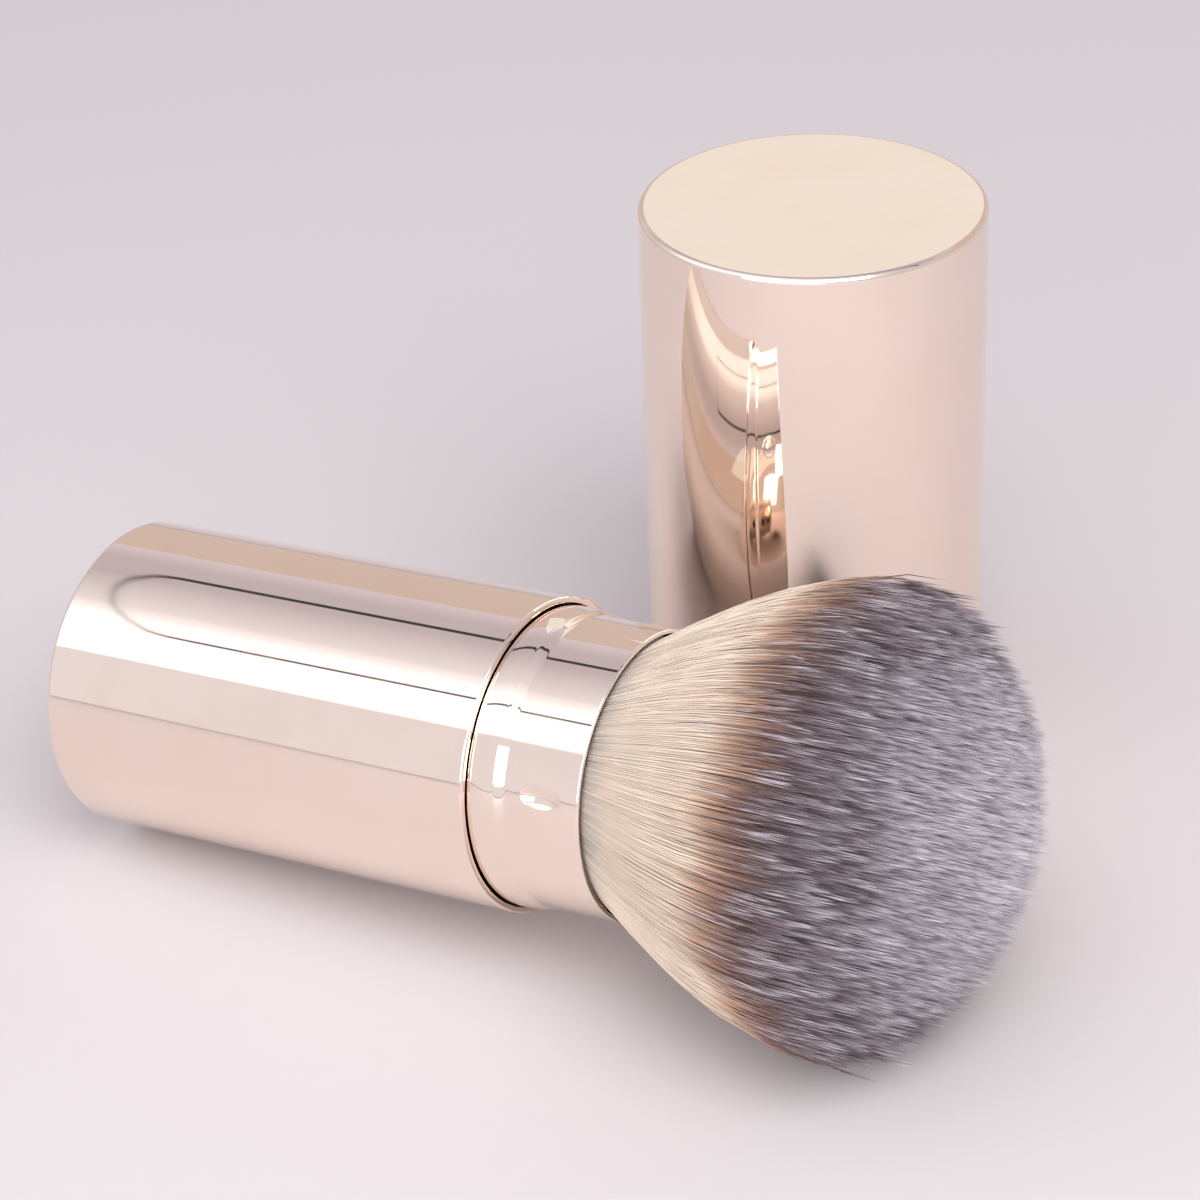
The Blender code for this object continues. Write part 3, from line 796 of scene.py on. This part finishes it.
def bakeCells(maps, total, first):
    # Every strand gets its own upright rectangle of the bake map, in rows, a little inside its cell
    rows, margin = headSizes["bakeRows"], headSizes["bakeMargin"]
    columns = math.ceil(total / rows)
    index = first + np.arange(len(maps))
    corner = np.stack([index % columns, index // columns], -1)[:, None, None, :]
    return ((corner + margin + maps * (1 - 2 * margin)) / (columns, rows)).reshape(-1, maps.shape[2], 2)


def buildHead(material):
    # Strands stand like the seeds of a sunflower and end on the dome. Each is shortened, leaned and shaded
    # with its clump and by itself, and the head is cut round its axis into wedges of one piece each
    draw = np.random.default_rng(headSizes["seed"])
    wedges = headSizes["wedges"]
    share, turn = sunflower(headSizes["strands"])
    count = len(share)
    flat = share[:, None] * headWidest * np.stack([np.cos(turn), np.sin(turn)], -1)
    center, number = clumpsAt(flat, draw)
    clumps = headSizes["clumpNet"] ** 2
    low, pale, dark = draw.random(clumps)[number], draw.random(clumps)[number], draw.random(clumps)[number]
    sway = draw.normal(0, headSizes["clumpLean"], (clumps, 2))[number]
    short = (draw.random(clumps)[number] < headSizes["shortOnes"]) * draw.random(clumps)[number]
    shorter = low ** headSizes["clumpPower"] * headSizes["clumpShorter"]
    shorter = shorter + draw.random(count) ** headSizes["strandPower"] * headSizes["strandShorter"]
    atSide = np.clip((share - headSizes["shortFrom"]) / headSizes["shortOver"], 0, 1)
    shorter += short * headSizes["shortMost"] * atSide
    broad = smoothNoise(flat, headSizes["dyeSpacing"], draw)
    atEdge = np.clip((share - headSizes["strayFrom"]) * headSizes["straySlope"], 0, 1)
    stray = draw.random(count) < headSizes["strayOnes"] * atEdge
    spread = draw.random(count) * headSizes["strayLean"] * stray
    longer = stray * draw.random(count) * headSizes["strayLonger"]
    outwards = np.stack([np.cos(turn), np.sin(turn)], -1)
    strands = {
        "inside": share * (headWidest - headSizes["edgeMargin"]) / headWidest,
        "turn": turn,
        "end": domeAhead(share) - shorter * (1 - stray) + longer,
        "pull": (center - flat) * headSizes["clumpPull"],
        "lean": sway + draw.normal(0, headSizes["bend"], (count, 2)) + outwards * spread[:, None],
        "tone": (headSizes["toneStart"] + headSizes["clumpTone"] * dark
                 + headSizes["strandTone"] * draw.random(count)),
        "pale": np.clip(headSizes["paleStart"] + headSizes["clumpPale"] * pale
                        + headSizes["strandPale"] * (draw.random(count) - 0.5), 0, 1),
        # Painted shade: which strands are darkened near the ferrule's mouth
        "shaded": draw.random(count) < headSizes["rootShaded"],
        "dyeShift": (broad - 0.5) * headSizes["dyeDrift"] + draw.normal(0, headSizes["dyeBlur"], count),
    }
    wedge = (turn // (2 * np.pi / wedges)).astype(int) % wedges
    fine = share > headSizes["finerFrom"]
    for number in range(wedges):
        mine = [(wedge == number) & fine, (wedge == number) & ~fine]
        batches = [strandBatch({key: value[chosen] for key, value in strands.items()}, parts, draw)
                   for chosen, parts in zip(mine, headSizes["bodyParts"])]
        offset = len(batches[0]["points"])
        total = sum(chosen.sum() for chosen in mine)
        firsts = (0, mine[0].sum())
        joined = {key: np.concatenate([batch[key] for batch in batches])
                  for key in ("points", "dyePlace", "tone", "paleness")}
        faces = [np.concatenate([batches[0][key], batches[1][key] + offset])
                 for key in ("quads", "triangles")]
        maps = [np.concatenate([bakeCells(batch[key], total, first)
                                for batch, first in zip(batches, firsts)])
                for key in ("quadMap", "triangleMap")]
        piece = newPiece(f"fibre_wedge_{number + 1:02d}", joined["points"], faces, material,
                         sharpDegrees=0, mapGroups=maps)
        piece.visible_glossy = False  # the photographed cap mirrors the barrel but no fibre
        stored = {"aheadOfMouth": joined["dyePlace"] * millimetresPerMetre / headSizes["fibre"][-1][0],
                  "tone": joined["tone"], "paleness": joined["paleness"]}
        for key, value in stored.items():
            attribute = piece.data.attributes.new(key, "FLOAT", "POINT")
            attribute.data.foreach_set("value", value.astype(np.float32))
        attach(piece, "core")
        if number == 0:
            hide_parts("bristles")
        middle = (number + 0.5) * 2 * np.pi / wedges
        outwards = math.cos(middle) * downwards + math.sin(middle) * sideways
        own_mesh(piece)


buildHead(fibreMaterial())
print("head made")

# Stage and light

stageSizes = {
    "floorRadius": 1.2,
    "floorSides": 96,
    "color": "#C5BFC0",
    "roughness": 0.9,
    "gloss": 0.1,
}


def buildStage():
    # A plain pale plaster floor, the same all over: light and shade on it come from the lamps and the brush
    material, tree = startMaterial("pale_plaster_floor")
    shader = addNode(tree, "ShaderNodeBsdfPrincipled", {"Base Color": linearColor(stageSizes["color"]),
                                                        "Roughness": stageSizes["roughness"],
                                                        "Specular IOR Level": stageSizes["gloss"]})
    addNode(tree, "ShaderNodeOutputMaterial", {"Surface": shader.outputs["BSDF"]})
    turns = evenTurns(stageSizes["floorSides"])
    edge = np.stack([np.cos(turns), np.sin(turns), 0 * turns], -1) * stageSizes["floorRadius"]
    mesh = bpy.data.meshes.new("floor")
    mesh.from_pydata(edge.tolist(), [], [list(range(len(turns)))])
    mesh.materials.append(material)
    floor = bpy.data.objects.new("floor", mesh)
    bpy.context.scene.collection.objects.link(floor)


studioSizes = {
    # Turn about the brush's axis in degrees, level in front being 0 and straight up 90, and the light from
    # there: a big soft light in front, falling off over the top to a greyer wall, and a tan wall low behind
    "bands": [(40.2, (0.87, 0.85, 0.9)), (40.8, (1.4, 1.4, 1.5)), (70.0, (1.4, 1.4, 1.5)),
              (82.0, (0.9, 0.88, 0.95)), (108.0, (0.58, 0.54, 0.6)), (124.0, (0.58, 0.54, 0.6)),
              (138.0, (0.72, 0.68, 0.77)), (139.0, (0.68, 0.57, 0.53))],
    "brightest": 1.5,
    # The big light's dark frame: its lower and upper turn, where it rounds off beyond the brush's rear,
    # its width at both turns as a share of the height, the share of it that is fully dark, and how much
    # light is left there
    "frame": (63.45, 113.4),
    "frameEnds": (-0.588, -0.601),
    "frameWidths": (0.07, 0.13),
    "frameDark": 0.6,
    "frameLight": 0.1,
    # The plain light beyond both ends of the brush, and where along its axis it starts and takes over
    "endColor": (0.7, 0.7, 0.7),
    "fadeFrom": 0.72,
    "fadeTo": 0.95,
}
lampSizes = {
    # name: place, aim, width, height, power in watts, colour
    "key": ((0.34, -0.3, 0.52), (0.06, -0.03, 0.0), 0.45, 0.45, 3.4, (1.0, 0.99, 0.98)),
    "front_fill": ((0.12, -0.68, 0.27), (0.03, -0.04, 0.0), 0.7, 0.35, 2.4, (1.0, 0.99, 1.0)),
    "back_card": ((-0.1275, 0.3, 0.255), (0.0, 0.03, 0.065), 0.15, 0.17, 0.028, (0.75, 1.0, 1.0)),
}


def buildStudio():
    # The surroundings change in soft bands with the turn about the brush's axis, atan2(up, front), and turn
    # to one plain light towards both ends of that axis
    world = bpy.data.worlds.new("studio_surroundings")
    bpy.context.scene.world = world
    world.use_nodes = True
    tree = world.node_tree
    tree.nodes.clear()
    view = addNode(tree, "ShaderNodeTexCoord").outputs["Generated"]
    upwards, frontwards, lengthwise = (
        addNode(tree, "ShaderNodeVectorMath", {0: view, 1: tuple(direction)},
                operation="DOT_PRODUCT").outputs["Value"]
        for direction in (-downwards, -sideways, brushAxis))
    turn = addNode(tree, "ShaderNodeMath", {0: upwards, 1: frontwards}, operation="ARCTAN2").outputs["Value"]
    bands, brightest = studioSizes["bands"], studioSizes["brightest"]
    first, last = bands[0][0], bands[-1][0]
    across = addNode(tree, "ShaderNodeMapRange",
                     {"Value": turn, "From Min": math.radians(first), "From Max": math.radians(last)})
    ramp = addNode(tree, "ShaderNodeValToRGB", {"Fac": across.outputs["Result"]},
                   [((degrees - first) / (last - first), [*(part / brightest for part in light), 1])
                    for degrees, light in bands])
    # The frame is where side squared + closing squared is 1, side being -1 and 1 at its lower and upper turn
    low, high = (math.radians(degrees) for degrees in studioSizes["frame"])
    side = addNode(tree, "ShaderNodeMapRange",
                   {"Value": turn, "From Min": low, "From Max": high, "To Min": -1.0, "To Max": 1.0},
                   clamp=False).outputs["Result"]
    low, high = studioSizes["frameEnds"]
    rounding = addNode(tree, "ShaderNodeMapRange", {"Value": lengthwise, "From Min": low, "From Max": high},
                       clamp=False)
    closing = addNode(tree, "ShaderNodeMath", {0: rounding.outputs["Result"], 1: 0.0},
                      operation="MAXIMUM").outputs["Value"]
    sideSquared = addNode(tree, "ShaderNodeMath", {0: side, 1: side}, operation="MULTIPLY")
    both = addNode(tree, "ShaderNodeMath", {0: closing, 1: closing, 2: sideSquared.outputs["Value"]},
                   operation="MULTIPLY_ADD")
    beyond = addNode(tree, "ShaderNodeMath", {0: both.outputs["Value"], 1: 1.0}, operation="SUBTRACT")
    away = addNode(tree, "ShaderNodeMath", {0: beyond.outputs["Value"]}, operation="ABSOLUTE")
    low, high = studioSizes["frameWidths"]
    width = addNode(tree, "ShaderNodeMapRange",
                    {"Value": side, "From Min": -1.0, "From Max": 1.0, "To Min": low, "To Max": high})
    near = addNode(tree, "ShaderNodeMath", {0: away.outputs["Value"], 1: width.outputs["Result"]},
                   operation="DIVIDE")
    shade = addNode(tree, "ShaderNodeMapRange",
                    {"Value": near.outputs["Value"], "From Min": studioSizes["frameDark"], "From Max": 1.0,
                     "To Min": studioSizes["frameLight"], "To Max": 1.0})
    framed = addNode(tree, "ShaderNodeVectorMath",
                     {0: ramp.outputs["Color"], "Scale": shade.outputs["Result"]}, operation="SCALE")
    endwards = addNode(tree, "ShaderNodeMath", {0: lengthwise}, operation="ABSOLUTE")
    fade = addNode(tree, "ShaderNodeMapRange",
                   {"Value": endwards.outputs["Value"], "From Min": studioSizes["fadeFrom"],
                    "From Max": studioSizes["fadeTo"]})
    plain = [part / brightest for part in studioSizes["endColor"]]
    mixed = addNode(tree, "ShaderNodeMix",
                    {0: fade.outputs["Result"], 6: framed.outputs["Vector"], 7: (*plain, 1)},
                    data_type="RGBA")
    background = addNode(tree, "ShaderNodeBackground", {"Color": mixed.outputs[2], "Strength": brightest})
    addNode(tree, "ShaderNodeOutputWorld", {"Surface": background.outputs["Background"]})


def buildLamps():
    # Soft rectangular lamps, each turned to its aim and hidden from the camera only
    for name, (place, aim, width, height, power, color) in lampSizes.items():
        lamp = bpy.data.lights.new(name, "AREA")
        lamp.shape = "RECTANGLE"
        lamp.size, lamp.size_y = width, height
        lamp.energy = power
        lamp.color = color
        light = bpy.data.objects.new(name, lamp)
        light.location = place
        light.rotation_euler = (Vector(aim) - Vector(place)).to_track_quat("-Z", "Y").to_euler()
        light.visible_camera = False
        bpy.context.scene.collection.objects.link(light)


# Camera

cameraSizes = {
    "azimuth": 31.95,
    "pitch": 30.37,
    "roll": -2.18,
    "distance": 0.45524,
    "lens": 118.8,
    "sensor": 36,
    "aimAhead": 0.0378,
    "aimAside": 0.03722,
    "aimHeight": 0.017,
}


def placeCamera():
    # The camera looks at a point beside the brush from its azimuth and pitch, rolled about its view line
    azimuth, pitch, roll = (math.radians(cameraSizes[key]) for key in ("azimuth", "pitch", "roll"))
    level = math.cos(pitch)
    back = Vector((math.sin(azimuth) * level, -math.cos(azimuth) * level, math.sin(pitch)))
    right = Matrix.Rotation(roll, 3, back) @ Vector((math.cos(azimuth), math.sin(azimuth), 0))
    up = back.cross(right)
    aim = Vector((axisPoint[0] + cameraSizes["aimAhead"], axisPoint[1] + cameraSizes["aimAside"],
                  cameraSizes["aimHeight"]))
    spot = aim + back * cameraSizes["distance"]
    data = bpy.data.cameras.new("photograph_view")
    data.lens = cameraSizes["lens"]
    data.sensor_width = cameraSizes["sensor"]
    camera = bpy.data.objects.new("photograph_view", data)
    camera.matrix_world = Matrix((
        (right.x, up.x, back.x, spot.x),
        (right.y, up.y, back.y, spot.y),
        (right.z, up.z, back.z, spot.z),
        (0, 0, 0, 1),
    ))
    bpy.context.scene.collection.objects.link(camera)
    bpy.context.scene.camera = camera


placeCamera()
buildStage()
buildStudio()
buildLamps()
bpy.context.scene.view_settings.view_transform = "Standard"
print("camera, floor and lights placed")
